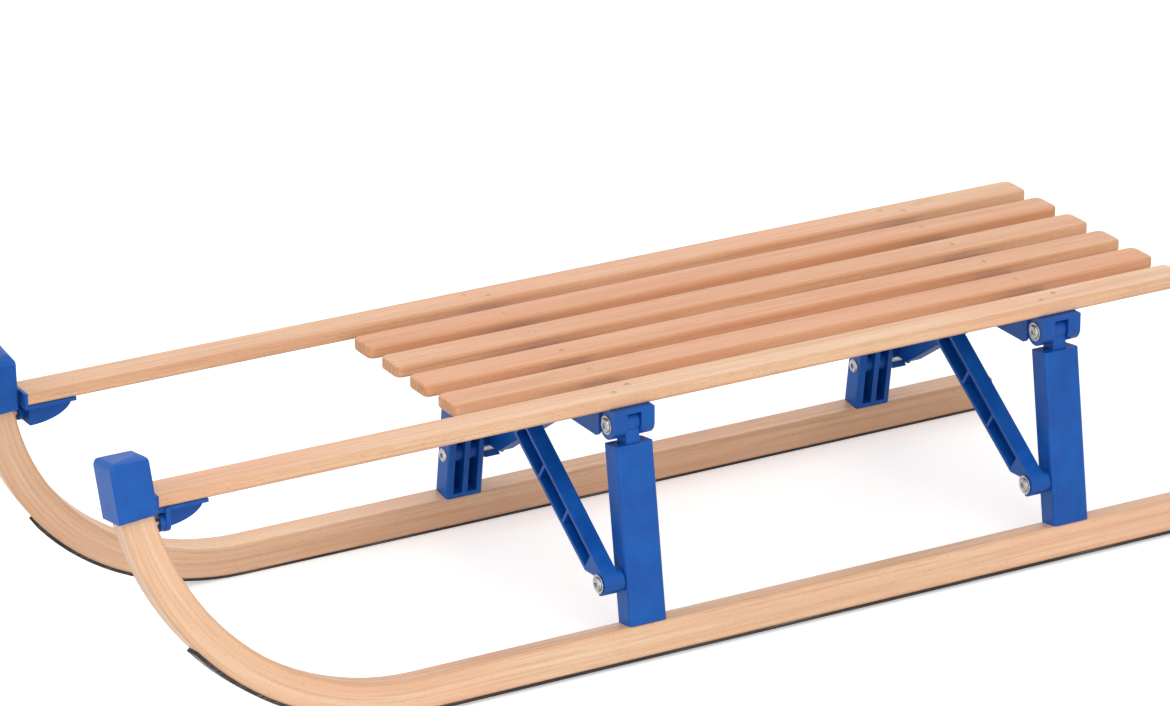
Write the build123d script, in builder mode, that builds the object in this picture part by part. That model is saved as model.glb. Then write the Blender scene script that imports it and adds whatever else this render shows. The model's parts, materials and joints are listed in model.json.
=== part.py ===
from build123d import *
import os
from math import atan2, cos, degrees, hypot, radians, sin, sqrt

# Folding wooden sled in millimetres, +X forward, +Y left, +Z up.
# The origin is on the ground under the middle of the sled, with the legs unfolded.

# whole sled
LENGTH = 986
HINGE_HALF = 130        # hinge axis of a leg, from the middle plane
SPLAY = 8.5             # degrees that an unfolded leg leans outward
FRONT_POST_X = 42
POST_SPACING = 405

# wooden seat
SEAT_WIDTH = 270
SLAT_WIDTH = 31
SLAT_THICK = 10.5
INNER_SLAT_LENGTH = 667
INNER_SLATS = 4
SLAT_END_RADIUS = 7
SLAT_EDGE_RADIUS = 2.5
SEAT_DROP = 13.5        # hinge axis below the underside of the slats

# bent wooden runner with its steel sole
RUNNER_HEIGHT = 27
RUNNER_WIDTH = 21
RUNNER_EDGE_RADIUS = 2
RUNNER_REAR_GAP = 5     # runner ends this far ahead of the seat's rear end
BEND_RADIUS = 230       # along the runner's middle line
BEND_ANGLE = 88
SOLE_THICK = 3
SOLE_WIDTH = 17
SOLE_END_ANGLE = 50

# moulded cap on the runner's tip
CAP_ALONG = 33
CAP_ACROSS = 34
CAP_HEIGHT = 48
CAP_ANGLE = 85.5        # place of the cap's middle on the bend
CAP_RADIUS = 6
CAP_EDGE_RADIUS = 2.5
CAP_DOME = 4            # rise of the cap's top across its width
CAP_FIT = 0.3

# moulded post, open on its inner side
POST_ALONG = 34
POST_DEPTH = 21
POST_LENGTH = 148
POST_TOP_DROP = 17      # hinge axis to the top of the post
POST_WALL = 6
POST_RIB = 5
POST_FLOOR = 5
POST_END_WALL = 4
POST_RADIUS = 3
KNUCKLE_RADIUS = 9.6
KNUCKLE_ALONG = 12.4
NECK_DEPTH = 15
STUD_DROP = 127         # hinge axis to the stud that the strut hooks on
STUD_BOSS_RADIUS = 7.5

# moulded crossbar with the hinge ears
BAR_TOP = 3
FLANGE_THICK = 2.5
FLANGE_DEPTH = 26.5
FLANGE_GAP = 1          # clearance of a folded post in the channel
FLANGE_HALF = 121
FLANGE_RADIUS = 6
EAR_RADIUS = 12
EAR_THICK = 12
EAR_GAP = 0.3

# struts with a hook at the lower end
PIVOT_OFFSET = 30       # strut pivot past the middle plane
PIVOT_DROP = 4          # strut pivot below the hinge axis
STRUT_THICK = 14
STRUT_GAP = 1           # strut boss off the post and off the flange
STRUT_STANDOFF = 5.5    # strut web off the post's face
EYE_RADIUS = 9.5        # bosses at both ends, inside the web's outline
HOOK_RADIUS = 10
STRUT_TOP_HALF = 11.5
HOOK_FIT = 0.4
MOUTH_NEAR = -4         # degrees from the strut's normal where the mouth begins
MOUTH_FAR = 53
STRUT_RIM = 3
STRUT_POCKET = 9
STRUT_RIBS = 3

# pins, bolts and washers
STUD_RADIUS = 4
WASHER_RADIUS = 8
WASHER_THICK = 0.8
HEAD_RADIUS = 6
HEAD_HEIGHT = 1.8
HINGE_BOLT_RADIUS = 3.5
PIVOT_PIN_RADIUS = 3.5
FRONT_PIN_RADIUS = 3
PIN_FIT = 0.05          # radial play of a pin in the piece that holds it
RUN_FIT = 0.08          # radial play of a pin in the piece that turns on it

# bracket at the front end of a rail
BRACKET_PLATE = 2.5     # over the rail's front end
CAP_CLEARANCE = 2       # end plate to the cap
WALL_SETBACK = 9        # front of the hinge wall to the cap
WALL_THICK = 4
WALL_OUTER = 137
WALL_RADIUS = 7.5
GUSSET_LENGTH = 37
GUSSET_DEPTH = 17.5
GUSSET_INNER = 113
GUSSET_OUTER = 126
FRONT_BOSS_RADIUS = 7
FRONT_BOSS_LENGTH = 4
FRONT_PIN_DEPTH = 14    # pin in the runner's tip

REAR_X = -LENGTH / 2
FRONT_X = LENGTH / 2
LEAN_COS = cos(radians(SPLAY))
LEAN_SIN = sin(radians(SPLAY))
RUNNER_TOP_DROP = POST_TOP_DROP + POST_LENGTH
RUNNER_LOW_DROP = RUNNER_TOP_DROP + RUNNER_HEIGHT
SOLE_DROP = RUNNER_LOW_DROP + SOLE_THICK
HINGE_Z = SOLE_DROP * LEAN_COS + SOLE_WIDTH / 2 * LEAN_SIN
UNDERSIDE = HINGE_Z + SEAT_DROP
STATIONS = {"front": FRONT_POST_X, "rear": FRONT_POST_X - POST_SPACING}
SIDES = {"left": 1, "right": -1}

# the bend begins where the cap's foremost point then lies at the sled's front
CAP_TILT = radians(90 - CAP_ANGLE)
CAP_REACH = (
    (CAP_ALONG / 2 - CAP_RADIUS) * cos(CAP_TILT)
    + (CAP_HEIGHT / 2 - CAP_RADIUS) * sin(CAP_TILT)
    + CAP_RADIUS
)
BEND_X = FRONT_X - CAP_REACH - BEND_RADIUS * cos(CAP_TILT)
BEND_INNER = BEND_RADIUS - RUNNER_HEIGHT / 2
BEND_OUTER = BEND_RADIUS + RUNNER_HEIGHT / 2
BEND_DROP = RUNNER_TOP_DROP - BEND_INNER
CAP_REAR_X = FRONT_X - CAP_REACH - CAP_ALONG / 2 * cos(CAP_TILT) - CAP_HEIGHT / 2 * sin(CAP_TILT)
RAIL_FRONT_X = CAP_REAR_X - CAP_CLEARANCE - BRACKET_PLATE
WALL_X = CAP_REAR_X - WALL_SETBACK

# strut geometry in the plane across the sled, for the left side
STUD_Y = HINGE_HALF + STUD_DROP * LEAN_SIN
STUD_Z = HINGE_Z - STUD_DROP * LEAN_COS
PIVOT_Z = HINGE_Z - PIVOT_DROP
STRUT_LENGTH = hypot(STUD_Y + PIVOT_OFFSET, PIVOT_Z - STUD_Z)
STRUT_SLOPE = degrees(atan2(PIVOT_Z - STUD_Z, STUD_Y + PIVOT_OFFSET))

# places along X, from the middle of a post, on the side where its strut runs
POST_FACE = POST_ALONG / 2
FLANGE_FACE = POST_FACE + FLANGE_GAP
FLANGE_OUT = FLANGE_FACE + FLANGE_THICK
STRUT_FACE = POST_FACE + STRUT_STANDOFF
STRUT_OUT = STRUT_FACE + STRUT_THICK
EAR_FACE = KNUCKLE_ALONG / 2 + EAR_GAP
EAR_OUT = EAR_FACE + EAR_THICK


def leg_down(side, drop, out=0.0):
    """Point of a leg at a drop below its hinge axis and out from its middle plane, as (y, z)."""
    y = HINGE_HALF + drop * LEAN_SIN + out * LEAN_COS
    return side * y, HINGE_Z - drop * LEAN_COS + out * LEAN_SIN


def cross_plane(side, x, y=0.0, z=0.0):
    """Plane across the sled: local x points to this side, local y up."""
    return Plane(origin=(x, y, z), x_dir=(0, side, 0), z_dir=(side, 0, 0))


def leg_section_plane(side, drop):
    """Plane square to the leg at a drop below the hinge: local x is X, local y is side * outward."""
    return Plane(
        origin=(0, *leg_down(side, drop)),
        x_dir=(1, 0, 0),
        z_dir=(0, -side * LEAN_SIN, LEAN_COS),
    )


def leg_profile_plane(side):
    """Middle plane of a leg: local x is X, local y is up along the leg from the hinge axis."""
    return Plane(
        origin=(0, *leg_down(side, 0)),
        x_dir=(1, 0, 0),
        z_dir=(0, -LEAN_COS, -side * LEAN_SIN),
    )


def strut_plane(side, x):
    """Plane of a strut with its pivot as origin: local x runs to the stud, local y is its normal."""
    slope = radians(STRUT_SLOPE)
    return Plane(
        origin=(x, -side * PIVOT_OFFSET, PIVOT_Z),
        x_dir=(0, side * cos(slope), -sin(slope)),
        z_dir=(side, 0, 0),
    )


def finish(part, name):
    """Labels a piece and writes it to its own file."""
    part.label = name
    export_step(part, f"parts/{name}.step")


def turned(side, x, y, z, steps):
    """Pin along X turned from (start, end, radius) steps, measured from x to the strut's side."""
    points = [(steps[0][0], 0)]
    for start, end, radius in steps:
        points += [(start, radius), (end, radius)]
    points.append((steps[-1][1], 0))
    axis_plane = Plane(origin=(x, y, z), x_dir=(side, 0, 0), z_dir=(0, -side, 0))
    with BuildPart() as pin:
        with BuildSketch(axis_plane):
            with BuildLine():
                Polyline(*points, close=True)
            make_face()
        revolve(axis=Axis((x, y, z), (side, 0, 0)))
    return pin.part


def make_slat(name, y, length):
    """Seat slat with rounded corners and eased edges, its rear end at the seat's rear."""
    with BuildPart() as slat:
        with BuildSketch(Plane.XY.offset(UNDERSIDE)):
            with Locations((REAR_X + length / 2, y)):
                RectangleRounded(length, SLAT_WIDTH, SLAT_END_RADIUS)
        extrude(amount=SLAT_THICK)
        rims = slat.faces().sort_by(Axis.Z)
        fillet(rims[0].edges() + rims[-1].edges(), SLAT_EDGE_RADIUS)
    finish(slat.part, name)


def make_rail(name, side):
    """Outer slat that runs forward to the bracket, square at its front end."""
    length = RAIL_FRONT_X - REAR_X
    with BuildPart() as rail:
        with BuildSketch(Plane.XY.offset(UNDERSIDE)) as outline:
            with Locations((REAR_X + length / 2, side * (SEAT_WIDTH - SLAT_WIDTH) / 2)):
                Rectangle(length, SLAT_WIDTH)
            fillet(outline.vertices().group_by(Axis.X)[0], SLAT_END_RADIUS)
        extrude(amount=SLAT_THICK)
        rims = rail.faces().sort_by(Axis.Z)
        long_rims = (rims[0].edges() + rims[-1].edges()).sort_by(Axis.X)
        fillet(long_rims[:-2], SLAT_EDGE_RADIUS)
    finish(rail.part, name)


def make_runner(side):
    """Runner bent in one arc, with the blind bore of the front pin in its tip."""
    section = Plane(
        origin=(BEND_X, *leg_down(side, RUNNER_TOP_DROP + RUNNER_HEIGHT / 2)),
        x_dir=(0, side * LEAN_COS, LEAN_SIN),
        z_dir=(side, 0, 0),
    )
    bend_axis = Axis((BEND_X, *leg_down(side, BEND_DROP)), (0, -LEAN_COS, -side * LEAN_SIN))
    straight = BEND_X - REAR_X - RUNNER_REAR_GAP
    with BuildPart() as runner:
        with BuildSketch(section) as outline:
            RectangleRounded(RUNNER_WIDTH, RUNNER_HEIGHT, RUNNER_EDGE_RADIUS)
        extrude(amount=-side * straight)
        revolve(outline.sketch, axis=bend_axis, revolution_arc=BEND_ANGLE)
        face = BEND_X + sqrt(BEND_INNER**2 - BEND_DROP**2)
        with BuildSketch(Plane.YZ.offset(face + FRONT_PIN_DEPTH)):
            with Locations(leg_down(side, 0)):
                Circle(FRONT_PIN_RADIUS + RUN_FIT)
        extrude(amount=-2 * FRONT_PIN_DEPTH, mode=Mode.SUBTRACT)
    return runner.part


def make_sole(side):
    """Steel strip along the runner's underside and up the lower part of the bend."""
    rear = REAR_X + RUNNER_REAR_GAP
    centre = (BEND_X, -BEND_DROP)
    end = radians(SOLE_END_ANGLE)
    low = BEND_OUTER + SOLE_THICK
    with BuildPart() as sole:
        with BuildSketch(leg_profile_plane(side)):
            with BuildLine():
                Line((rear, -RUNNER_LOW_DROP), (rear, -SOLE_DROP))
                Line((rear, -SOLE_DROP), (BEND_X, -SOLE_DROP))
                CenterArc(centre, low, -90, SOLE_END_ANGLE)
                Line(
                    (BEND_X + low * sin(end), -BEND_DROP - low * cos(end)),
                    (BEND_X + BEND_OUTER * sin(end), -BEND_DROP - BEND_OUTER * cos(end)),
                )
                CenterArc(centre, BEND_OUTER, -90, SOLE_END_ANGLE)
                Line((BEND_X, -RUNNER_LOW_DROP), (rear, -RUNNER_LOW_DROP))
            make_face()
        extrude(amount=SOLE_WIDTH / 2, both=True)
    return sole.part


def make_cap(side):
    """Rounded cap in line with the runner's tip, with a socket that follows the bend."""
    place = radians(CAP_ANGLE)
    middle = (BEND_X + BEND_RADIUS * sin(place), -BEND_DROP - BEND_RADIUS * cos(place))
    centre = (BEND_X, -BEND_DROP)
    wide = RUNNER_WIDTH + 2 * CAP_FIT
    with BuildPart() as cap:
        with BuildSketch(leg_profile_plane(side)) as outline:
            with Locations(middle):
                Rectangle(CAP_ALONG, CAP_HEIGHT, rotation=-degrees(CAP_TILT))
            fillet(outline.vertices().sort_by(Axis.Y)[-2:], CAP_RADIUS)
        extrude(amount=CAP_ACROSS / 2, both=True)
        across = Plane(
            origin=(middle[0], *leg_down(side, -middle[1])),
            x_dir=(0, side * LEAN_COS, LEAN_SIN),
            z_dir=(side, 0, 0),
        )
        with BuildSketch(across):
            with BuildLine():
                half = CAP_ACROSS / 2
                rise = CAP_HEIGHT / 2 * cos(CAP_TILT) + CAP_ALONG / 2 * sin(CAP_TILT)
                Polyline((half, rise - CAP_DOME), (half, -CAP_HEIGHT), (-half, -CAP_HEIGHT), (-half, rise - CAP_DOME))
                ThreePointArc((-half, rise - CAP_DOME), (0, rise), (half, rise - CAP_DOME))
            make_face()
        extrude(amount=CAP_ALONG, both=True, mode=Mode.INTERSECT)
        flanks = cap.faces().sort_by(Axis.Y)
        fillet(flanks[0].edges() + flanks[-1].edges(), CAP_EDGE_RADIUS)
        with BuildSketch(leg_profile_plane(side)):
            with BuildLine():
                outer = CenterArc(centre, BEND_OUTER + CAP_FIT, -45, BEND_ANGLE - 45 + CAP_FIT)
                inner = CenterArc(centre, BEND_INNER - CAP_FIT, -45, BEND_ANGLE - 45 + CAP_FIT)
                Line(outer @ 0, inner @ 0)
                Line(outer @ 1, inner @ 1)
            make_face()
        extrude(amount=wide / 2, both=True, mode=Mode.SUBTRACT)
    return cap.part


def make_post(side, x):
    """Post with two grooves on its inner side, a stud boss, and the hinge knuckle on a neck."""
    groove = (POST_ALONG - 2 * POST_WALL - POST_RIB) / 2
    groove_x = (groove + POST_RIB) / 2
    groove_depth = POST_DEPTH - POST_FLOOR
    foot = leg_section_plane(side, RUNNER_TOP_DROP)
    knuckle = Plane(
        origin=(x, *leg_down(side, 0)),
        x_dir=(0, side * LEAN_COS, LEAN_SIN),
        z_dir=(side, 0, 0),
    )
    with BuildPart() as post:
        with BuildSketch(foot):
            with Locations((x, 0)):
                RectangleRounded(POST_ALONG, POST_DEPTH, POST_RADIUS)
        extrude(amount=POST_LENGTH)
        with BuildSketch(foot.offset(POST_END_WALL)):
            with Locations(
                (x - groove_x, -side * (POST_DEPTH - groove_depth) / 2),
                (x + groove_x, -side * (POST_DEPTH - groove_depth) / 2),
            ):
                Rectangle(groove, groove_depth)
        extrude(amount=POST_LENGTH - 2 * POST_END_WALL, mode=Mode.SUBTRACT)
        with BuildSketch(knuckle):
            with Locations((0, -STUD_DROP)):
                Circle(STUD_BOSS_RADIUS)
        extrude(amount=POST_FACE - POST_WALL / 2, both=True)
        with BuildSketch(knuckle):
            Circle(KNUCKLE_RADIUS)
            with Locations((0, -POST_TOP_DROP / 2)):
                Rectangle(NECK_DEPTH, POST_TOP_DROP)
        extrude(amount=KNUCKLE_ALONG / 2, both=True)
        with BuildSketch(knuckle):
            Circle(HINGE_BOLT_RADIUS + RUN_FIT)
            with Locations((0, -STUD_DROP)):
                Circle(STUD_RADIUS + PIN_FIT)
        extrude(amount=POST_ALONG, both=True, mode=Mode.SUBTRACT)
    return post.part


def make_stud(side, x):
    """Bolt through the post that carries the strut's hook under a washer."""
    y, z = leg_down(side, STUD_DROP)
    hook_out = STRUT_OUT + STRUT_GAP / 2
    steps = [
        (-POST_FACE - HEAD_HEIGHT, -POST_FACE, HEAD_RADIUS),
        (-POST_FACE, hook_out, STUD_RADIUS),
        (hook_out, hook_out + WASHER_THICK, WASHER_RADIUS),
        (hook_out + WASHER_THICK, hook_out + WASHER_THICK + HEAD_HEIGHT, HEAD_RADIUS),
    ]
    return turned(side, x, y, z, steps)


def make_crossbar(x):
    """Channel under the slats: top plate, two flanges, hinge ears and the struts' eye bosses."""
    top = UNDERSIDE - BAR_TOP
    ear_rise = top - HINGE_Z
    with BuildPart() as bar:
        with BuildSketch(Plane.XY.offset(top)):
            with Locations((x, 0)):
                RectangleRounded(2 * FLANGE_OUT, 2 * (FLANGE_HALF + FLANGE_RADIUS), FLANGE_RADIUS)
                Rectangle(2 * EAR_OUT, 2 * (HINGE_HALF + EAR_RADIUS))
        extrude(amount=BAR_TOP)
        for side in SIDES.values():
            with BuildSketch(cross_plane(side, x + side * FLANGE_FACE)) as flange:
                with Locations((0, UNDERSIDE - (FLANGE_DEPTH + BAR_TOP) / 2)):
                    Rectangle(2 * FLANGE_HALF, FLANGE_DEPTH - BAR_TOP)
                fillet(flange.vertices().group_by(Axis.Y)[0], FLANGE_RADIUS)
            extrude(amount=FLANGE_THICK)
            for leg in SIDES.values():
                with BuildSketch(cross_plane(leg, x + side * EAR_FACE)):
                    with Locations((HINGE_HALF, HINGE_Z)):
                        Circle(EAR_RADIUS)
                    with Locations((HINGE_HALF, HINGE_Z + ear_rise / 2)):
                        Rectangle(2 * EAR_RADIUS, ear_rise)
                extrude(amount=side * leg * EAR_THICK)
            with BuildSketch(cross_plane(side, x + side * FLANGE_FACE)):
                with Locations((-PIVOT_OFFSET, PIVOT_Z)):
                    Circle(PIVOT_PIN_RADIUS + PIN_FIT)
            extrude(amount=FLANGE_THICK, mode=Mode.SUBTRACT)
        with BuildSketch(cross_plane(1, x)):
            with Locations((HINGE_HALF, HINGE_Z), (-HINGE_HALF, HINGE_Z)):
                Circle(HINGE_BOLT_RADIUS + PIN_FIT)
        extrude(amount=EAR_OUT, both=True, mode=Mode.SUBTRACT)
    return bar.part


def make_hinge_bolt(side, x):
    """Bolt on the hinge axis through both ears and the knuckle."""
    steps = [
        (-EAR_OUT - HEAD_HEIGHT, -EAR_OUT, HEAD_RADIUS),
        (-EAR_OUT, EAR_OUT, HINGE_BOLT_RADIUS),
        (EAR_OUT, EAR_OUT + WASHER_THICK, WASHER_RADIUS),
        (EAR_OUT + WASHER_THICK, EAR_OUT + WASHER_THICK + HEAD_HEIGHT, HEAD_RADIUS),
    ]
    return turned(side, x, side * HINGE_HALF, HINGE_Z, steps)


def make_strut_pin(side, x):
    """Pin that carries a strut's eye on the crossbar's flange."""
    steps = [
        (FLANGE_FACE, STRUT_OUT + STRUT_GAP / 2, PIVOT_PIN_RADIUS),
        (STRUT_OUT + STRUT_GAP / 2, STRUT_OUT + STRUT_GAP / 2 + HEAD_HEIGHT, HEAD_RADIUS),
    ]
    return turned(side, x, -side * PIVOT_OFFSET, PIVOT_Z, steps)


def mouth_end(start, angle):
    """Point well outside the strut on the edge of the hook's mouth that begins at start."""
    reach = 3 * HOOK_RADIUS
    return start.X - reach * sin(radians(angle)), start.Y - reach * cos(radians(angle))


def make_strut(side, x):
    """Tapered strut: eye at its pivot, ribbed pockets on its outer face, open hook at its end."""
    web_plane = strut_plane(side, x + side * STRUT_FACE)
    eye_plane = strut_plane(side, x + side * (FLANGE_OUT + STRUT_GAP))
    hook_plane = strut_plane(side, x + side * (POST_FACE + STRUT_GAP))
    pocket_plane = strut_plane(side, x + side * STRUT_OUT)
    pocket_start = EYE_RADIUS + STRUT_RIM
    pocket_end = STRUT_LENGTH - HOOK_RADIUS - 2 * STUD_RADIUS - STRUT_RIM
    pitch = (pocket_end - pocket_start) / (STRUT_RIBS + 1)
    mouth = STUD_RADIUS + HOOK_FIT

    def half_depth(along):
        return STRUT_TOP_HALF + (HOOK_RADIUS - STRUT_TOP_HALF) * along / STRUT_LENGTH

    with BuildPart() as strut:
        with BuildSketch(web_plane):
            Circle(STRUT_TOP_HALF)
            with Locations((STRUT_LENGTH, 0)):
                Circle(HOOK_RADIUS)
            make_hull()
        extrude(amount=STRUT_THICK)
        with BuildSketch(eye_plane):
            Circle(EYE_RADIUS)
        extrude(amount=STRUT_FACE - FLANGE_OUT - STRUT_GAP)
        with BuildSketch(hook_plane):
            with Locations((STRUT_LENGTH, 0)):
                Circle(EYE_RADIUS)
        extrude(amount=STRUT_STANDOFF - STRUT_GAP)
        with BuildSketch(pocket_plane):
            for number in range(STRUT_RIBS + 1):
                near = pocket_start + number * pitch + STRUT_RIM / 2
                far = pocket_start + (number + 1) * pitch - STRUT_RIM / 2
                with BuildLine():
                    Polyline(
                        (near, half_depth(near) - STRUT_RIM),
                        (far, half_depth(far) - STRUT_RIM),
                        (far, STRUT_RIM - half_depth(far)),
                        (near, STRUT_RIM - half_depth(near)),
                        close=True,
                    )
                make_face()
        extrude(amount=-STRUT_POCKET, mode=Mode.SUBTRACT)
        with BuildSketch(hook_plane):
            with BuildLine():
                closed = CenterArc(
                    (STRUT_LENGTH, 0), mouth, -MOUTH_NEAR, 180 - MOUTH_FAR + MOUTH_NEAR
                )
                Polyline(
                    closed @ 1,
                    mouth_end(closed @ 1, MOUTH_FAR),
                    mouth_end(closed @ 0, MOUTH_NEAR),
                    closed @ 0,
                )
            make_face()
        extrude(amount=STRUT_OUT, mode=Mode.SUBTRACT)
        with BuildSketch(eye_plane):
            Circle(PIVOT_PIN_RADIUS + RUN_FIT)
        extrude(amount=STRUT_OUT, mode=Mode.SUBTRACT)
    return strut.part


def make_bracket(side):
    """Bracket on the rail's front end: end plate, shelf, hinge wall with boss, and a gusset."""
    shelf = UNDERSIDE - BAR_TOP
    inner = SEAT_WIDTH / 2 - SLAT_WIDTH
    outer = SEAT_WIDTH / 2
    shelf_rear = WALL_X - GUSSET_LENGTH
    shelf_front = RAIL_FRONT_X + BRACKET_PLATE
    gusset = Plane(origin=(WALL_X, side * GUSSET_INNER, shelf), x_dir=(1, 0, 0), z_dir=(0, -1, 0))
    with BuildPart() as bracket:
        with BuildSketch(Plane.XY.offset(shelf)):
            with Locations(((shelf_rear + shelf_front) / 2, side * (inner + outer) / 2)):
                Rectangle(shelf_front - shelf_rear, outer - inner)
        extrude(amount=BAR_TOP)
        with BuildSketch(Plane.XY.offset(shelf)):
            with Locations((RAIL_FRONT_X + BRACKET_PLATE / 2, side * (inner + outer) / 2)):
                Rectangle(BRACKET_PLATE, outer - inner)
        extrude(amount=BAR_TOP + SLAT_THICK)
        with BuildSketch(cross_plane(side, WALL_X)):
            with Locations((HINGE_HALF, HINGE_Z)):
                Circle(WALL_RADIUS)
            with Locations(((GUSSET_INNER + WALL_OUTER) / 2, UNDERSIDE - BAR_TOP / 2)):
                Rectangle(WALL_OUTER - GUSSET_INNER, BAR_TOP)
            make_hull()
        extrude(amount=-side * WALL_THICK)
        with BuildSketch(gusset):
            with BuildLine():
                Line((-GUSSET_LENGTH, 0), (0, 0))
                Line((0, 0), (0, -GUSSET_DEPTH))
                EllipticalCenterArc(
                    (0, 0),
                    GUSSET_LENGTH,
                    GUSSET_DEPTH,
                    start_angle=180,
                    arc_size=90,
                )
            make_face()
        extrude(amount=-side * (GUSSET_OUTER - GUSSET_INNER))
        with BuildSketch(cross_plane(side, WALL_X)):
            with Locations((HINGE_HALF, HINGE_Z)):
                Circle(FRONT_BOSS_RADIUS)
        extrude(amount=side * FRONT_BOSS_LENGTH)
        with BuildSketch(cross_plane(side, WALL_X)):
            with Locations((HINGE_HALF, HINGE_Z)):
                Circle(FRONT_PIN_RADIUS + PIN_FIT)
        extrude(amount=GUSSET_LENGTH, both=True, mode=Mode.SUBTRACT)
    return bracket.part


def make_front_pin(side):
    """Plain pin on the hinge axis between the bracket and the runner's tip."""
    tip_face = BEND_X + sqrt(BEND_INNER**2 - BEND_DROP**2)
    rear = WALL_X - WALL_THICK
    with BuildPart() as pin:
        with BuildSketch(cross_plane(1, rear)):
            with Locations((side * HINGE_HALF, HINGE_Z)):
                Circle(FRONT_PIN_RADIUS)
        extrude(amount=tip_face + FRONT_PIN_DEPTH - HOOK_FIT - rear)
    return pin.part


os.makedirs("parts", exist_ok=True)

slat_pitch = (SEAT_WIDTH - SLAT_WIDTH) / (INNER_SLATS + 1)
for number in range(INNER_SLATS):
    slat_y = -(SEAT_WIDTH - SLAT_WIDTH) / 2 + (number + 1) * slat_pitch
    make_slat(f"slat_{number + 1}", slat_y, INNER_SLAT_LENGTH)

for side_name, side_sign in SIDES.items():
    make_rail(f"rail_{side_name}", side_sign)
    finish(make_runner(side_sign), f"runner_{side_name}")
    finish(make_sole(side_sign), f"sole_{side_name}")
    finish(make_cap(side_sign), f"cap_{side_name}")
    finish(make_bracket(side_sign), f"front_bracket_{side_name}")
    finish(make_front_pin(side_sign), f"front_pin_{side_name}")
    for end_name, station_x in STATIONS.items():
        place = f"{end_name}_{side_name}"
        finish(make_post(side_sign, station_x), f"post_{place}")
        finish(make_stud(side_sign, station_x), f"stud_{place}")
        finish(make_hinge_bolt(side_sign, station_x), f"hinge_bolt_{place}")
        finish(make_strut(side_sign, station_x), f"strut_{place}")
        finish(make_strut_pin(side_sign, station_x), f"strut_pin_{place}")

for end_name, station_x in STATIONS.items():
    finish(make_crossbar(station_x), f"crossbar_{end_name}")
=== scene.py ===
import json
import math

import bpy
import numpy as np
from mathutils import Matrix, Vector


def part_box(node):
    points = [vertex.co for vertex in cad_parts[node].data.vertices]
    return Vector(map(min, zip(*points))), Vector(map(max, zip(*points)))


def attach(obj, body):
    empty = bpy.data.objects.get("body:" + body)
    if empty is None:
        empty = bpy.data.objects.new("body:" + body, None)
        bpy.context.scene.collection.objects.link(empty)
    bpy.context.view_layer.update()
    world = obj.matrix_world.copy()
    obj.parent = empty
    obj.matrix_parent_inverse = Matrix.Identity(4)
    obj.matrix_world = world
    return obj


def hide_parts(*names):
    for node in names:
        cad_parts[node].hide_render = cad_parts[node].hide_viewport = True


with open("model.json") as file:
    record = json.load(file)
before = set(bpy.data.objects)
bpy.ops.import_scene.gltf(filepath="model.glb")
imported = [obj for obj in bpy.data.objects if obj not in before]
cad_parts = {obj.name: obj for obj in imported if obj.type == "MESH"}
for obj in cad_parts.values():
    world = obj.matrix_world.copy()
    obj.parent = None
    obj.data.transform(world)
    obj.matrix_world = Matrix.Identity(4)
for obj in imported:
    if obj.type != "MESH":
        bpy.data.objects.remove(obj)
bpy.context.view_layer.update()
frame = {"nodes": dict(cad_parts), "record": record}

# Sizes of the part in metres, in the part's own frame: +X forward, +Y left, +Z up.
JOINTS = {joint["name"]: joint for joint in frame["record"]["behaviour"]["joints"]}
FRONT_X, HINGE_Y, HINGE_Z = JOINTS["fold_left"]["pos_m"]
PIVOT_Y = abs(JOINTS["strut_turn_front_left"]["pos_m"][1])
PIVOT_Z = JOINTS["strut_turn_front_left"]["pos_m"][2]
CROSSBAR_SPACING = 0.405
STATIONS = {"front": FRONT_X, "rear": FRONT_X - CROSSBAR_SPACING}
SIDES = {"left": 1, "right": -1}
SPLAY = math.radians(8.5)
LEAN_SIN, LEAN_COS = math.sin(SPLAY), math.cos(SPLAY)
SLAT_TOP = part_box("slat_1")[1][2]
SHELF_THICK = 0.003
STUD_DROP = 0.127  # from the hinge axis to the stud, down the leg
SOLE_DROP = 0.195  # from the hinge axis to the underside of the sole
BEND_X = 0.24583  # where the runner's bend starts
BEND_RADIUS = 0.230  # middle line of the bent runner
BEND_UP = 0.0515  # centre of the bend above the hinge axis, along the leg
SOLE_RADIUS = 0.2465  # underside of the sole from the centre of the bend
RUNNER_HALF_HEIGHT, RUNNER_HALF_WIDTH = 0.0135, 0.0105
RUNNER_REAR_X = -0.4  # the runner's end grain lies behind this
UP = (0.0, 0.0, 1.0)
DOWN = (0.0, 0.0, -1.0)


def leg_point(side, x, drop):
    """Point in the middle plane of an unfolded leg at a drop below its hinge axis."""
    return np.array((x, side * (HINGE_Y + drop * LEAN_SIN), HINGE_Z - drop * LEAN_COS))


def linear(red, green, blue):
    """Scene-linear colour of an sRGB colour given from 0 to 255."""
    values = []
    for value in (red, green, blue):
        value /= 255
        values.append(value / 12.92 if value <= 0.04045 else ((value + 0.055) / 1.055) ** 2.4)
    return (*values, 1.0)


def grey(level):
    """Scene-linear grey."""
    return (level, level, level, 1.0)


BEECH_PALE, BEECH_WARM, BEECH_DARK = linear(243, 208, 173), linear(233, 187, 149), linear(197, 139, 100)
BEECH_FLECK, BEECH_BLUSH, BEECH_SMUDGE = linear(158, 102, 72), linear(238, 170, 134), linear(160, 112, 80)
END_GRAIN_PALE, END_GRAIN_DARK = linear(210, 158, 116), linear(178, 124, 84)
WORN_EDGE = linear(202, 150, 110)
REDDER_BEECH = (0.868, 0.66, 0.552, 1.0)  # multiplied in by the amount of Tone
BLUE_DEEP, BLUE_LIGHT, BLUE_FLOW = linear(3, 76, 160), linear(7, 90, 176), linear(3, 62, 142)
BLUE_SCUFF, PALE_DUST = linear(96, 142, 200), linear(130, 140, 156)
STRIP_SKIN, STRIP_BRIGHT, STRIP_RUST = linear(58, 52, 50), linear(142, 136, 132), linear(96, 62, 44)
ZINC_DULL, ZINC_BRIGHT, ZINC_SPECK = linear(150, 151, 154), linear(200, 200, 202), linear(112, 108, 104)
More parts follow.
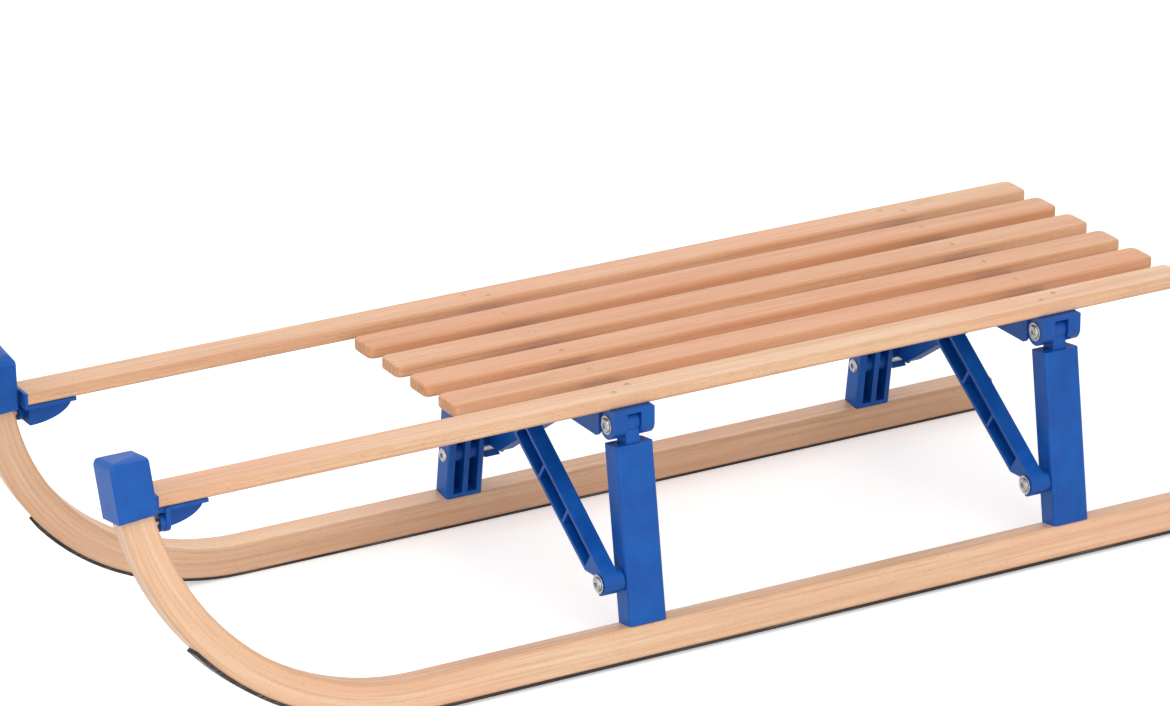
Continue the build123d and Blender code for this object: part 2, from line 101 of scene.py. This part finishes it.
YELLOW_DULL, YELLOW_BRIGHT = linear(164, 136, 92), linear(206, 174, 124)


# Shading: each look is a node group that gives a colour, a roughness and a height. The scale of a
# pattern is in features per metre, and a triple gives it along x, y and z of the coordinates.

MIX_INPUTS, MIX_OUTPUT = (0, 6, 7), 2  # the sockets of a Mix node that are in use for colours


class Graph:
    """Short calls that add nodes to one node tree."""

    def __init__(self, tree):
        self.tree = tree

    def node(self, kind, sockets=None, **settings):
        """New node with its settings, and with its input sockets fed by name."""
        node = self.tree.nodes.new(kind)
        for name, value in settings.items():
            setattr(node, name, value)
        for name, value in (sockets or {}).items():
            self.feed(node.inputs[name], value)
        return node

    def feed(self, socket, value):
        """Links another socket to this one, or sets a constant on it."""
        if isinstance(value, bpy.types.NodeSocket):
            self.tree.links.new(value, socket)
        else:
            socket.default_value = value

    def give(self, wanted, **values):
        for title, value in values.items():
            self.feed(wanted[title], value)

    def math(self, operation, first, second=0.0):
        node = self.node("ShaderNodeMath", operation=operation)
        self.feed(node.inputs[0], first)
        self.feed(node.inputs[1], second)
        return node.outputs[0]

    def product(self, first, second):
        return self.math("MULTIPLY", first, second)

    def total(self, first, second):
        return self.math("ADD", first, second)

    def less(self, first, second):
        return self.math("SUBTRACT", first, second)

    def vector(self, operation, first, second):
        node = self.node("ShaderNodeVectorMath", operation=operation)
        self.feed(node.inputs[0], first)
        self.feed(node.inputs[1], second)
        return node.outputs["Value" if operation == "DOT_PRODUCT" else "Vector"]

    def parts(self, vector):
        return self.node("ShaderNodeSeparateXYZ", {"Vector": vector}).outputs

    def joined(self, x, y, z):
        return self.node("ShaderNodeCombineXYZ", {"X": x, "Y": y, "Z": z}).outputs[0]

    def scaled(self, vector, scale):
        return self.node("ShaderNodeMapping", {"Vector": vector, "Scale": scale}).outputs[0]

    def noise(self, vector, scale=1.0, detail=2.0, roughness=0.5, distortion=0.0):
        sockets = {
            "Vector": vector,
            "Scale": scale,
            "Detail": detail,
            "Roughness": roughness,
            "Distortion": distortion,
        }
        return self.node("ShaderNodeTexNoise", sockets).outputs[0]

    def step(self, value, low, high, out_low=0.0, out_high=1.0):
        """Smooth step of a value from low to high, given as out_low to out_high."""
        sockets = {
            "Value": value,
            "From Min": low,
            "From Max": high,
            "To Min": out_low,
            "To Max": out_high,
        }
        return self.node("ShaderNodeMapRange", sockets, interpolation_type="SMOOTHSTEP").outputs[0]

    def mix(self, factor, first, second, blend="MIX"):
        """Colour that goes from the first to the second as the factor goes from 0 to 1."""
        node = self.node("ShaderNodeMix", data_type="RGBA", blend_type=blend)
        for number, value in zip(MIX_INPUTS, (factor, first, second)):
            self.feed(node.inputs[number], value)
        return node.outputs[MIX_OUTPUT]


def new_group(name, inputs, outputs):
    """Empty node group with the given sockets, and its graph, input and output nodes."""
    tree = bpy.data.node_groups.new(name, "ShaderNodeTree")
    for title, kind in inputs.items():
        tree.interface.new_socket(title, in_out="INPUT", socket_type=f"NodeSocket{kind}")
    for title, kind in outputs.items():
        tree.interface.new_socket(title, in_out="OUTPUT", socket_type=f"NodeSocket{kind}")
    graph = Graph(tree)
    return tree, graph, graph.node("NodeGroupInput").outputs, graph.node("NodeGroupOutput").inputs


LOOK = {"Color": "Color", "Roughness": "Float", "Height": "Float"}


def runner_lines_group():
    """Coords that follow a runner: length along its middle line, distance from the bend's centre, out.

    With dx = max(x - bend, 0) and dr the drop below the bend's centre in the leg's plane, the angle
    is atan2(dx, dr), the length is min(x, bend) + radius * angle and the distance is hypot(dx, dr).
    """
    inputs = {"Coords": "Vector", "Side": "Float"}
    tree, g, given, wanted = new_group("runner_lines", inputs, {"Coords": "Vector"})
    place = g.parts(given["Coords"])
    one_side = g.joined(place["X"], g.product(place["Y"], given["Side"]), place["Z"])
    up = g.vector("DOT_PRODUCT", one_side, (0.0, -LEAN_SIN, LEAN_COS))
    out = g.vector("DOT_PRODUCT", one_side, (0.0, LEAN_COS, LEAN_SIN))
    hinge_up = -LEAN_SIN * HINGE_Y + LEAN_COS * HINGE_Z
    hinge_out = LEAN_COS * HINGE_Y + LEAN_SIN * HINGE_Z
    dx = g.math("MAXIMUM", g.less(place["X"], BEND_X), 0.0)
    dr = g.less(hinge_up + BEND_UP, up)
    angle = g.math("ARCTAN2", dx, dr)
    distance = g.math("SQRT", g.total(g.product(dx, dx), g.product(dr, dr)))
    length = g.total(g.math("MINIMUM", place["X"], BEND_X), g.product(angle, BEND_RADIUS))
    g.give(wanted, Coords=g.joined(length, distance, g.less(out, hinge_out)))
    return tree


WEAR_MOST, WEAR_LEAST = 0.0034, 0.0014  # how far in from a long edge the wear reaches
WEAR_SOFTNESS = 0.0007


def bar_edges_group():
    """Mask that is 1 on the long edges of a bar along x, from its middle and its half sizes.

    With the distance inside each face = |coords - middle| - half, the mask is the product of the
    two steps, across and over the bar, of that distance less a ragged limit.
    """
    inputs = {"Coords": "Vector", "Middle": "Vector", "Half": "Vector"}
    tree, g, given, wanted = new_group("bar_edges", inputs, {"Mask": "Float"})
    away = g.node("ShaderNodeVectorMath", operation="ABSOLUTE")
    g.feed(away.inputs[0], g.vector("SUBTRACT", given["Coords"], given["Middle"]))
    inside = g.parts(g.vector("SUBTRACT", away.outputs[0], given["Half"]))
    rough = g.noise(g.scaled(given["Coords"], (40.0, 220.0, 220.0)), detail=3.0, roughness=0.65)
    ragged = g.step(rough, 0.25, 0.75, -WEAR_MOST, -WEAR_LEAST)
    across = g.step(g.less(inside["Y"], ragged), -WEAR_SOFTNESS, WEAR_SOFTNESS)
    over = g.step(g.less(inside["Z"], ragged), -WEAR_SOFTNESS, WEAR_SOFTNESS)
    g.give(wanted, Mask=g.product(across, over))
    return tree


def beech_group():
    """Varnished beech: Coords run along the grain in x, across it in y and z, in metres.

    Seed shifts the pattern, so that no two pieces share it. Tone makes it redder, Edge lays wear
    over it and End lays end grain over it, each from 0 to 1.
    """
    inputs = {"Coords": "Vector", "Seed": "Float", "Tone": "Float", "Edge": "Float", "End": "Float"}
    tree, g, given, wanted = new_group("beech", inputs, LOOK)
    coords = g.vector("ADD", given["Coords"], g.joined(given["Seed"], given["Seed"], 0.0))
    figure = g.noise(g.scaled(coords, (2.6, 62.0, 62.0)), detail=3.0, roughness=0.55, distortion=0.6)
    bands = g.noise(g.scaled(coords, (5.0, 330.0, 330.0)), detail=3.0, roughness=0.6)
    fibre = g.noise(g.scaled(coords, (34.0, 1500.0, 1500.0)), detail=3.0, roughness=0.65)
    flecks = g.step(g.noise(g.scaled(coords, (260.0, 2100.0, 2100.0)), detail=1.0), 0.62, 0.74)
    blush = g.noise(g.scaled(coords, (4.0, 7.0, 7.0)), detail=2.0)
    smudge = g.noise(g.scaled(coords, (14.0, 30.0, 30.0)), detail=4.0, roughness=0.65)
    rings = g.noise(g.scaled(coords, (3.0, 420.0, 120.0)), detail=3.0, roughness=0.7)
    color = g.mix(g.step(figure, 0.30, 0.70), BEECH_PALE, BEECH_WARM)
    color = g.mix(g.product(g.step(bands, 0.45, 0.72), 0.40), color, BEECH_DARK)
    color = g.mix(g.product(g.step(fibre, 0.50, 0.80), 0.36), color, BEECH_DARK)
    color = g.mix(g.product(flecks, 0.42), color, BEECH_FLECK)
    color = g.mix(g.product(g.step(blush, 0.42, 0.72), 0.35), color, BEECH_BLUSH)
    color = g.mix(given["Tone"], color, REDDER_BEECH, "MULTIPLY")
    color = g.mix(g.product(g.step(smudge, 0.60, 0.80), 0.22), color, BEECH_SMUDGE)
    end_grain = g.mix(g.step(rings, 0.35, 0.65), END_GRAIN_PALE, END_GRAIN_DARK)
    color = g.mix(g.product(given["End"], 0.75), color, end_grain)
    color = g.mix(g.product(given["Edge"], 0.38), color, WORN_EDGE)
    roughness = g.total(g.step(fibre, 0.2, 0.8, 0.38, 0.56), g.product(given["Edge"], 0.12))
    height = g.total(g.product(fibre, -0.5), g.product(flecks, -0.8))
    g.give(wanted, Color=color, Roughness=roughness, Height=height)
    return tree


def moulded_group():
    """Moulded blue plastic with a fine grain, flow marks, pale scuffs and a little dust."""
    tree, g, given, wanted = new_group("moulded", {"Coords": "Vector"}, LOOK)
    coords = given["Coords"]
    cloud = g.noise(coords, 26.0, 3.0, 0.6)
    flow = g.noise(g.scaled(coords, (70.0, 70.0, 12.0)), detail=2.0, distortion=0.8)
    grain = g.noise(coords, 2600.0, 2.0, 0.6)
    marks = g.noise(g.scaled(coords, (900.0, 900.0, 60.0)), detail=2.0, roughness=0.7)
    scuffs = g.product(g.step(marks, 0.62, 0.76), g.step(g.noise(coords, 34.0, 1.0), 0.50, 0.68))
    dust = g.step(g.noise(coords, 900.0, 3.0, 0.7), 0.62, 0.78)
    color = g.mix(g.step(cloud, 0.3, 0.7), BLUE_DEEP, BLUE_LIGHT)
    color = g.mix(g.product(g.step(flow, 0.4, 0.75), 0.25), color, BLUE_FLOW)
    color = g.mix(g.product(scuffs, 0.34), color, BLUE_SCUFF)
    color = g.mix(g.product(dust, 0.10), color, PALE_DUST)
    roughness = g.total(g.step(cloud, 0.3, 0.75, 0.38, 0.50), g.product(scuffs, 0.2))
    height = g.total(g.product(grain, 0.5), g.product(scuffs, -0.6))
    g.give(wanted, Color=color, Roughness=roughness, Height=height)
    return tree


def strip_group():
    """Bare steel strip: dark skin, long scratches worn bright and a little rust."""
    tree, g, given, wanted = new_group("strip", {"Coords": "Vector"}, LOOK)
    coords = given["Coords"]
    lines = g.noise(g.scaled(coords, (9.0, 1700.0, 1700.0)), detail=3.0, roughness=0.7)
    patch = g.noise(g.scaled(coords, (14.0, 60.0, 60.0)), detail=3.0)
    rust = g.noise(coords, 210.0, 4.0, 0.7)
    bright = g.product(g.step(lines, 0.48, 0.72), g.step(patch, 0.35, 0.7))
    color = g.mix(bright, STRIP_SKIN, STRIP_BRIGHT)
    color = g.mix(g.product(g.step(rust, 0.60, 0.78), 0.5), color, STRIP_RUST)
    roughness = g.step(lines, 0.3, 0.7, 0.36, 0.6)
    g.give(wanted, Color=color, Roughness=roughness, Height=g.product(lines, -1.0))
    return tree


def zinc_group():
    """Zinc-plated steel: soft spangle and dull specks, yellowed by the amount of Passivation."""
    inputs = {"Coords": "Vector", "Passivation": "Float"}
    tree, g, given, wanted = new_group("zinc", inputs, LOOK)
    spangle = g.noise(given["Coords"], 420.0, 3.0, 0.6)
    specks = g.noise(given["Coords"], 2400.0, 2.0)
    color = g.mix(g.step(spangle, 0.35, 0.7), ZINC_DULL, ZINC_BRIGHT)
    color = g.mix(g.product(g.step(specks, 0.55, 0.8), 0.4), color, ZINC_SPECK)
    yellow = g.mix(g.step(spangle, 0.3, 0.75), YELLOW_DULL, YELLOW_BRIGHT)
    color = g.mix(given["Passivation"], color, yellow)
    g.give(wanted, Color=color, Roughness=g.step(spangle, 0.3, 0.7, 0.26, 0.42), Height=specks)
    return tree


RUNNER_LINES, BAR_EDGES = runner_lines_group(), bar_edges_group()
BEECH, MOULDED, STRIP, ZINC = beech_group(), moulded_group(), strip_group(), zinc_group()

COAT_ROUGHNESS = 0.25
END_GRAIN_FROM, END_GRAIN_FULL = 0.45, 0.85  # how far a face has to look along x


def new_material(name, group, feeds=None, metallic=0.0, bump=0.00002, coat=0.0, specular=0.5):
    """Material whose Principled shader takes its colour, roughness and bump from a group.

    feeds gives the group's inputs, and without it the group gets Object coordinates alone. bump is
    the depth of the group's Height in metres.
    """
    material = bpy.data.materials.new(name)
    material.use_nodes = True
    tree = material.node_tree
    tree.nodes.clear()
    g = Graph(tree)
    look = g.node("ShaderNodeGroup", node_tree=group)
    if feeds is None:
        g.feed(look.inputs["Coords"], g.node("ShaderNodeTexCoord").outputs["Object"])
    else:
        g.give(look.inputs, **feeds(g))
    relief = g.node("ShaderNodeBump", {"Height": look.outputs["Height"], "Strength": 1.0, "Distance": bump})
    sockets = {
        "Base Color": look.outputs["Color"],
        "Roughness": look.outputs["Roughness"],
        "Normal": relief.outputs[0],
        "Metallic": metallic,
        "Specular IOR Level": specular,
        "Coat Weight": coat,
        "Coat Roughness": COAT_ROUGHNESS,
    }
    shader = g.node("ShaderNodeBsdfPrincipled", sockets)
    output = g.node("ShaderNodeOutputMaterial")
    tree.links.new(shader.outputs[0], output.inputs[0])
    return material


def slat_wood(node, seed, tone):
    """Beech with its grain along X, worn on the long edges and with end grain on faces along X."""
    low, high = (np.array(corner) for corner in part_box(node))
    middle, half = tuple((low + high) / 2), tuple((high - low) / 2)

    def feeds(g):
        place = g.node("ShaderNodeTexCoord").outputs
        edge = g.node("ShaderNodeGroup", node_tree=BAR_EDGES)
        g.give(edge.inputs, Coords=place["Object"], Middle=middle, Half=half)
        along = g.math("ABSOLUTE", g.parts(place["Normal"])["X"])
        end = g.step(along, END_GRAIN_FROM, END_GRAIN_FULL)
        return {"Coords": place["Object"], "Edge": edge.outputs[0], "End": end, "Seed": seed, "Tone": tone}

    return new_material(f"beech_{node}", BEECH, feeds, coat=0.06, specular=0.35)


def runner_wood(side, seed, tone):
    """Beech whose grain follows the runner round its bend, with end grain at the rear end."""

    def feeds(g):
        place = g.node("ShaderNodeTexCoord").outputs
        lines = g.node("ShaderNodeGroup", node_tree=RUNNER_LINES)
        g.give(lines.inputs, Coords=place["Object"], Side=float(SIDES[side]))
        edge = g.node("ShaderNodeGroup", node_tree=BAR_EDGES)
        half = (1.0, RUNNER_HALF_HEIGHT, RUNNER_HALF_WIDTH)
        g.give(edge.inputs, Coords=lines.outputs[0], Middle=(0.0, BEND_RADIUS, 0.0), Half=half)
        rearward = g.product(g.parts(place["Normal"])["X"], -1.0)
        behind = g.math("LESS_THAN", g.parts(place["Object"])["X"], RUNNER_REAR_X)
        end = g.product(g.step(rearward, END_GRAIN_FROM, END_GRAIN_FULL), behind)
        return {"Coords": lines.outputs[0], "Edge": edge.outputs[0], "End": end, "Seed": seed, "Tone": tone}

    return new_material(f"beech_runner_{side}", BEECH, feeds, coat=0.12)


def passivated(g):
    """Inputs of the zinc group for screws with a yellow passivated finish."""
    return {"Coords": g.node("ShaderNodeTexCoord").outputs["Object"], "Passivation": 0.85}


def dress(node, material):
    """Gives a CAD node its material."""
    for place in frame["nodes"][node].material_slots:
        place.material = material


plastic = new_material("blue_plastic", MOULDED, bump=0.00003, specular=0.3)
strip = new_material("sole_steel", STRIP, metallic=0.85)
zinc = new_material("zinc_steel", ZINC, metallic=1.0)
screw_steel = new_material("passivated_steel", ZINC, passivated, metallic=1.0)

SEAT_TONES = {
    "rail_left": 0.22,
    "rail_right": 0.50,
    "slat_1": 0.90,
    "slat_2": 0.80,
    "slat_3": 0.94,
    "slat_4": 0.84,
}
RUNNER_TONE = 0.04
SEAT_SEED, SEAT_SEED_STEP = 3.1, 1.7
RUNNER_SEED, RUNNER_SEED_STEP = 21.0, 2.3
for number, (node, tone) in enumerate(SEAT_TONES.items()):
    dress(node, slat_wood(node, SEAT_SEED + SEAT_SEED_STEP * number, tone))
for number, side in enumerate(SIDES):
    dress(f"runner_{side}", runner_wood(side, RUNNER_SEED + RUNNER_SEED_STEP * number, RUNNER_TONE))
    dress(f"sole_{side}", strip)
    dress(f"front_pin_{side}", zinc)
    for kind in ("cap", "front_bracket"):
        dress(f"{kind}_{side}", plastic)
    for end in STATIONS:
        dress(f"post_{end}_{side}", plastic)
        dress(f"strut_{end}_{side}", plastic)
for end in STATIONS:
    dress(f"crossbar_{end}", plastic)


# Turned pieces: a profile of (along, radius, outline) rows is carried round an axis.

ROUND, HEXAGON, CROSS = 0, 1, 2
CROSS_WAIST = 0.28  # radius between the arms of a cross, as a share of its radius at their tips
CROSS_SHARPNESS = 4
CREASE = math.radians(32)  # sharper corners than this stay sharp
STEEP = 0.8  # past this share of Z in its direction, an axis is guided by X instead


def turned_rings(profile, segments):
    """Rings of a profile as (ring, segment, 3) local points, with local x along the axis.

    Point = (along, r * cos phi, r * sin phi), r = radius * f(phi). f is 1 on a round ring,
    cos 30 / cos(phi mod 60 - 30) on a hexagon, and waist + (1 - waist) * |cos 2 phi| ** sharpness
    on a cross.
    """
    phi = np.arange(segments) * 2 * np.pi / segments
    sixth = np.pi / 3
    hexagon = np.cos(sixth / 2) / np.cos(np.mod(phi, sixth) - sixth / 2)
    cross = CROSS_WAIST + (1 - CROSS_WAIST) * np.abs(np.cos(2 * phi)) ** CROSS_SHARPNESS
    outlines = np.stack((np.ones(segments), hexagon, cross))
    along, radius, outline = np.array(profile).T
    radii = radius[:, None] * outlines[outline.astype(int)]
    return np.stack((along[:, None] + 0 * radii, radii * np.cos(phi), radii * np.sin(phi)), axis=-1)


def turned_faces(rings, segments):
    """Faces of one turned piece with a pole at both ends: quads between rings and a fan at each pole.

    Point 0 is the back pole, ring r starts at point 1 + r * segments, and the front pole comes last.
    """
    here = np.arange(segments)
    after = (here + 1) % segments
    start = 1 + np.arange(rings - 1)[:, None] * segments
    ahead = start + segments
    quads = np.stack((start + here, start + after, ahead + after, ahead + here), axis=-1)
    last = 1 + (rings - 1) * segments
    back = np.stack((0 * here, 1 + after, 1 + here), axis=-1)
    front = np.stack((0 * here + last + segments, last + here, last + after), axis=-1)
    return quads.reshape(-1, 4), back, front


def turned_axes(axis, turn):
    """Rows (axis, u, v) of unit length, square to each other, with u and v turned about the axis."""
    axis = np.array(axis, float) / np.linalg.norm(axis)
    guide = np.array(UP) if abs(axis[2]) < STEEP else np.array((1.0, 0.0, 0.0))
    u = np.cross(guide, axis) / np.linalg.norm(np.cross(guide, axis))
    v = np.cross(axis, u)
    turned_u = u * math.cos(turn) + v * math.sin(turn)
    turned_v = v * math.cos(turn) - u * math.sin(turn)
    return np.stack((axis, turned_u, turned_v))


def turned_mesh(name, profile, places, segments=48, material=zinc):
    """Joined mesh of one turned profile at each (centre, axis, turn) place.

    A local point goes to centre + x * axis + y * u + z * v. The profile runs from the piece's back
    to its front along the axis.
    """
    rings = turned_rings(profile, segments)
    local = np.concatenate((rings[0, :1], rings[1:-1].reshape(-1, 3), rings[-1, :1]))
    blocks = turned_faces(len(profile) - 2, segments)
    points, faces = [], []
    for centre, axis, turn in places:
        shift = len(points) * len(local)
        points.append(np.array(centre) + local @ turned_axes(axis, turn))
        for block in blocks:
            faces += (block + shift).tolist()
    mesh = bpy.data.meshes.new(name)
    mesh.from_pydata(np.concatenate(points).tolist(), [], faces)
    mesh.polygons.foreach_set("use_smooth", np.ones(len(faces), bool))
    mesh.set_sharp_from_angle(angle=CREASE)
    piece = bpy.data.objects.new(name, mesh)
    bpy.context.scene.collection.objects.link(piece)
    mesh.materials.append(material)
    return piece


EASE = 0.00025  # the broken corner of a plain step
SOCKET_DEPTH = 0.0012
SOCKET_FLOOR = 0.38  # radius of the socket's floor, as a share of the head's
HEAD_RADIUS_OVER = 0.005  # an end with a larger radius than this is a domed head

# A domed head from its socket's rim outwards: share of the radius down, share of the radius out, outline.
DOMED_HEAD = [
    (0.0, 0.42, HEXAGON),
    (0.0, 0.60, ROUND),
    (0.05, 0.82, ROUND),
    (0.12, 0.94, ROUND),
    (0.22, 1.0, ROUND),
]


def bolt_profile(steps):
    """Profile of a bolt from (start, end, radius) steps: eased corners, and a hexagon socket in end heads."""

    def domed(end, outward, radius):
        floor = end - outward * SOCKET_DEPTH
        rows = [(floor, 0.0, ROUND), (floor, SOCKET_FLOOR * radius, HEXAGON)]
        rows += [(end - outward * down * radius, out * radius, outline) for down, out, outline in DOMED_HEAD]
        return rows if outward < 0 else rows[::-1]

    def plain(end, outward, radius, tip):
        rows = [(end, 0.0, ROUND)] if tip else []
        rows += [(end, radius - EASE, ROUND), (end - outward * EASE, radius, ROUND)]
        return rows if outward < 0 else rows[::-1]

    profile = []
    for number, (start, end, radius) in enumerate(steps):
        for place, outward, tip in ((start, -1, number == 0), (end, 1, number == len(steps) - 1)):
            headed = tip and radius > HEAD_RADIUS_OVER
            profile += domed(place, outward, radius) if headed else plain(place, outward, radius, tip)
    return profile


# Each row is (start, end, radius) along the piece's axis: heads, shank and washers.
STUD = [
    (-0.0188, -0.017, 0.006),
    (-0.017, 0.037, 0.004),
    (0.037, 0.0378, 0.008),
    (0.0378, 0.0396, 0.006),
]
HINGE_BOLT = [
    (-0.0203, -0.0185, 0.006),
    (-0.0185, 0.0185, 0.0035),
    (0.0185, 0.0193, 0.008),
    (0.0193, 0.0211, 0.006),
]
STRUT_PIN = [
    (0.018, 0.037, 0.0035),
    (0.037, 0.0388, 0.006),
]
for number, (end, x) in enumerate(STATIONS.items()):
    for side, sign in SIDES.items():
        place = f"{end}_{side}"
        head_turn = 0.4 + 1.3 * number + 0.7 * sign
        for kind, steps, body, centre in (
            ("stud", STUD, f"leg_{side}", leg_point(sign, x, STUD_DROP)),
            ("hinge_bolt", HINGE_BOLT, "seat", (x, sign * HINGE_Y, HINGE_Z)),
            ("strut_pin", STRUT_PIN, "seat", (x, -sign * PIVOT_Y, PIVOT_Z)),
        ):
            bolt_place = (centre, (sign, 0, 0), head_turn)
            bolt = turned_mesh(f"{kind}_socket_{place}", bolt_profile(steps), [bolt_place])
            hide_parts(f"{kind}_{place}")
            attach(bolt, body)

# Raised countersunk screws, with local x = 0 on the surface that they stand in.
SCREW = [
    (-0.0010, 0.0, ROUND),
    (-0.0010, 0.0016, ROUND),
    (0.0, 0.0026, ROUND),
    (0.0002, 0.0025, ROUND),
    (0.00042, 0.0021, ROUND),
    (0.00055, 0.00175, ROUND),
    (0.00057, 0.0016, CROSS),
    (0.0001, 0.0012, CROSS),
    (0.0001, 0.0, ROUND),
]
SCREW_SIDES = 40
SLAT_COUNT = 4
RAIL_SCREW_X, RAIL_SCREW_Y = 0.009, 0.005  # two screws a crossing, this far from the rail's middle
SHELF_SCREWS = ((0.030, 0.1085), (0.024, 0.1305))  # behind the rail's front end, and out from y = 0


# Each place ends with the turn of the screw's cross, different from screw to screw.
seat_screws = []
for x in STATIONS.values():
    for number in range(1, SLAT_COUNT + 1):
        low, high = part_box(f"slat_{number}")
        seat_screws.append(((x, (low[1] + high[1]) / 2, SLAT_TOP), UP, 0.9 * number + x))
    for side, sign in SIDES.items():
        low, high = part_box(f"rail_{side}")
        middle = (low[1] + high[1]) / 2
        for step in (-1, 1):
            rail_screw = (x + RAIL_SCREW_X * step, middle + RAIL_SCREW_Y * step * sign, SLAT_TOP)
            seat_screws.append((rail_screw, UP, 1.1 * step + x))
for side, sign in SIDES.items():
    low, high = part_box(f"rail_{side}")
    for inset, y in SHELF_SCREWS:
        under_shelf = (high[0] - inset, sign * y, low[2] - SHELF_THICK)
        seat_screws.append((under_shelf, DOWN, 30 * y))
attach(turned_mesh("seat_screws", SCREW, seat_screws, SCREW_SIDES, screw_steel), "seat")

# The same screws, flatter and smaller, hold each sole from below: four along the straight and one
# near the end of the strip, at STRIP_END_ANGLE round the bend.
FLATTER, SMALLER = 0.6, 0.9
SOLE_SCREW = [(FLATTER * along, SMALLER * radius, outline) for along, radius, outline in SCREW]
SOLE_SCREWS_X = (-0.46, -0.24, -0.02, 0.20)
STRIP_END_ANGLE = math.radians(47.5)
for side, sign in SIDES.items():
    outward = np.array((0.0, sign * LEAN_SIN, -LEAN_COS))
    places = [(leg_point(sign, x, SOLE_DROP), outward, 9 * x) for x in SOLE_SCREWS_X]
    drop = SOLE_RADIUS * math.cos(STRIP_END_ANGLE) - BEND_UP
    strip_end = leg_point(sign, BEND_X + SOLE_RADIUS * math.sin(STRIP_END_ANGLE), drop)
    forward = np.array((math.sin(STRIP_END_ANGLE), 0.0, 0.0))
    places.append((strip_end, outward * math.cos(STRIP_END_ANGLE) + forward, 0.6))
    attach(turned_mesh(f"sole_screws_{side}", SOLE_SCREW, places, SCREW_SIDES, screw_steel), f"leg_{side}")


# Camera: fitted to the photograph, and looking back at its target from an azimuth and elevation.

AZIMUTH, ELEVATION, ROLL = math.radians(60.566), math.radians(21.429), math.radians(-0.256)
TARGET = Vector((0.0064, 0.0, 0.2004))
DISTANCE = 4.5643
FOCAL_PIXELS, PICTURE_PIXELS, SENSOR_WIDTH = 5626.96, 1170, 36
back = Vector(
    (
        math.cos(ELEVATION) * math.cos(AZIMUTH),
        math.cos(ELEVATION) * math.sin(AZIMUTH),
        math.sin(ELEVATION),
    )
)
level = Vector((-math.sin(AZIMUTH), math.cos(AZIMUTH), 0.0))
upright = back.cross(level)
right = level * math.cos(ROLL) + upright * math.sin(ROLL)
top = upright * math.cos(ROLL) - level * math.sin(ROLL)
camera_data = bpy.data.cameras.new("camera")
camera_data.lens = FOCAL_PIXELS * SENSOR_WIDTH / PICTURE_PIXELS
camera_data.clip_start, camera_data.clip_end = 0.1, 60.0
camera = bpy.data.objects.new("camera", camera_data)
bpy.context.scene.collection.objects.link(camera)
camera_axes = Matrix((right, top, back)).transposed()
camera.matrix_world = Matrix.Translation(TARGET + back * DISTANCE) @ camera_axes.to_4x4()
bpy.context.scene.camera = camera


# Light: four wide square lamps, as name, place, aim, size in metres and power in watts.

LAMPS = [
    ("key", (1.2, 2.4, 3.2), (0.0, 0.0, 0.1), 2.6, 52),
    ("side_fill", (0.2, 3.6, 1.1), (0.0, 0.0, 0.1), 2.4, 34),
    ("bow_fill", (3.4, -0.4, 1.3), (0.2, 0.0, 0.1), 2.4, 26),
    ("far_fill", (-1.4, -2.6, 2.4), (0.0, 0.0, 0.1), 2.6, 18),
]
for name, place, aim, size, power in LAMPS:
    lamp_data = bpy.data.lights.new(name, "AREA")
    lamp_data.size, lamp_data.energy = size, power
    lamp = bpy.data.objects.new(name, lamp_data)
    bpy.context.scene.collection.objects.link(lamp)
    lamp.location = place
    lamp.rotation_euler = (Vector(place) - Vector(aim)).to_track_quat("Z", "Y").to_euler()


# World and floor: white to the camera and in reflections, and a plain grey to the light that bounces.

WORLD_LIGHT, FLOOR_BOUNCE, FLOOR_SEEN = 0.60, 0.60, 0.93
FLOOR_GLOW = 0.42  # emission that only the camera and reflections see
FLOOR_HALF_SIZE, FLOOR_TOP = 30.0, -0.0004  # just below the soles


def seen(graph):
    """1 for rays from the camera or from a reflection, and 0 for the rays that light the object."""
    rays = graph.node("ShaderNodeLightPath").outputs
    return graph.math("MAXIMUM", rays["Is Camera Ray"], rays["Is Glossy Ray"])


world = bpy.data.worlds.new("studio")
bpy.context.scene.world = world
world.use_nodes = True
sky = Graph(world.node_tree)
background = world.node_tree.nodes["Background"]
sky.feed(background.inputs["Color"], sky.mix(seen(sky), grey(WORLD_LIGHT), grey(1.0)))
background.inputs["Strength"].default_value = 1.0

corners = [
    (x * FLOOR_HALF_SIZE, y * FLOOR_HALF_SIZE, FLOOR_TOP)
    for x, y in ((-1, -1), (1, -1), (1, 1), (-1, 1))
]
floor_mesh = bpy.data.meshes.new("floor")
floor_mesh.from_pydata(corners, [], [(0, 1, 2, 3)])
floor = bpy.data.objects.new("floor", floor_mesh)
bpy.context.scene.collection.objects.link(floor)
floor_material = bpy.data.materials.new("floor")
floor_material.use_nodes = True
floor_graph = Graph(floor_material.node_tree)
camera_side = seen(floor_graph)
floor_graph.give(
    floor_material.node_tree.nodes["Principled BSDF"].inputs,
    **{
        "Base Color": floor_graph.mix(camera_side, grey(FLOOR_BOUNCE), grey(FLOOR_SEEN)),
        "Emission Color": floor_graph.mix(camera_side, grey(0.0), grey(1.0)),
        "Emission Strength": FLOOR_GLOW,
        "Roughness": 0.9,
        "Specular IOR Level": 0.1,
    },
)
floor.data.materials.append(floor_material)

bpy.context.scene.view_settings.view_transform = "Standard"
